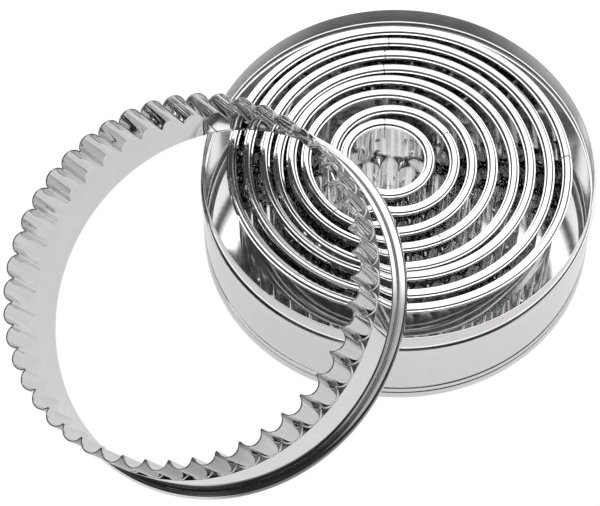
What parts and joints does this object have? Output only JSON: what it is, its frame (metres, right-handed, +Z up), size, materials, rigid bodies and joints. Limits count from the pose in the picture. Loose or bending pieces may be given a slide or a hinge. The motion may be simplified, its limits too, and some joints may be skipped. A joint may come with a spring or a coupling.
{
  "type": "biscuit cutter",
  "caption": "Set of fluted round biscuit cutters in graded sizes, nested in a shallow round tin with the largest cutter leaning on its edge.",
  "frame": {"origin": "centre of the tin's foot, on the table", "axes": "+Z up along the tin's axis, +X to the right and -Y towards the front as in the picture"},
  "size_m": [0.1608, 0.1559, 0.0722],
  "materials": {
    "steel_strip": "bright rolled steel, polished",
    "steel_wire": "drawn wire",
    "tinplate": "bright tinplate, smooth"
  },
  "bodies": {
    "tin": {"tin_wall": "tinplate", "tin_base": "tinplate"},
    "cutter_1_body": {"cutter_1": "steel_strip", "rim_wire_1": "steel_wire"},
    "cutter_2_body": {"cutter_2": "steel_strip", "rim_wire_2": "steel_wire"},
    "cutter_3_body": {"cutter_3": "steel_strip", "rim_wire_3": "steel_wire"},
    "cutter_4_body": {"cutter_4": "steel_strip", "rim_wire_4": "steel_wire"},
    "cutter_5_body": {"cutter_5": "steel_strip", "rim_wire_5": "steel_wire"},
    "cutter_6_body": {"cutter_6": "steel_strip", "rim_wire_6": "steel_wire"},
    "cutter_7_body": {"cutter_7": "steel_strip", "rim_wire_7": "steel_wire"},
    "cutter_8_body": {"cutter_8": "steel_strip", "rim_wire_8": "steel_wire"},
    "cutter_9_body": {"cutter_9": "steel_strip", "rim_wire_9": "steel_wire"}
  },
  "joints": [
    {"name": "cutter_9_away", "type": "slide", "parent": "tin", "child": "cutter_9_body", "axis": [-0.7869, -0.617, 0], "range_m": [0, 0.15]},
    {"name": "cutter_8_lift", "type": "slide", "parent": "tin", "child": "cutter_8_body", "axis": [0, 0, 1], "range_m": [0, 0.03425]},
    {"name": "cutter_7_lift", "type": "slide", "parent": "tin", "child": "cutter_7_body", "axis": [0, 0, 1], "range_m": [0, 0.038]},
    {"name": "cutter_6_lift", "type": "slide", "parent": "tin", "child": "cutter_6_body", "axis": [0, 0, 1], "range_m": [0, 0.04175]},
    {"name": "cutter_5_lift", "type": "slide", "parent": "tin", "child": "cutter_5_body", "axis": [0, 0, 1], "range_m": [0, 0.0455]},
    {"name": "cutter_4_lift", "type": "slide", "parent": "tin", "child": "cutter_4_body", "axis": [0, 0, 1], "range_m": [0, 0.04925]},
    {"name": "cutter_3_lift", "type": "slide", "parent": "tin", "child": "cutter_3_body", "axis": [0, 0, 1], "range_m": [0, 0.053]},
    {"name": "cutter_2_lift", "type": "slide", "parent": "tin", "child": "cutter_2_body", "axis": [0, 0, 1], "range_m": [0, 0.05675]},
    {"name": "cutter_1_lift", "type": "slide", "parent": "tin", "child": "cutter_1_body", "axis": [0, 0, 1], "range_m": [0, 0.0605]}
  ],
  "couplings": [
    {"joint": "cutter_8_lift", "follows": "cutter_9_away", "ratio": 0.225},
    {"joint": "cutter_7_lift", "follows": "cutter_9_away", "ratio": 0.25},
    {"joint": "cutter_6_lift", "follows": "cutter_9_away", "ratio": 0.275},
    {"joint": "cutter_5_lift", "follows": "cutter_9_away", "ratio": 0.3},
    {"joint": "cutter_4_lift", "follows": "cutter_9_away", "ratio": 0.325},
    {"joint": "cutter_3_lift", "follows": "cutter_9_away", "ratio": 0.35},
    {"joint": "cutter_2_lift", "follows": "cutter_9_away", "ratio": 0.375},
    {"joint": "cutter_1_lift", "follows": "cutter_9_away", "ratio": 0.4}
  ]
}
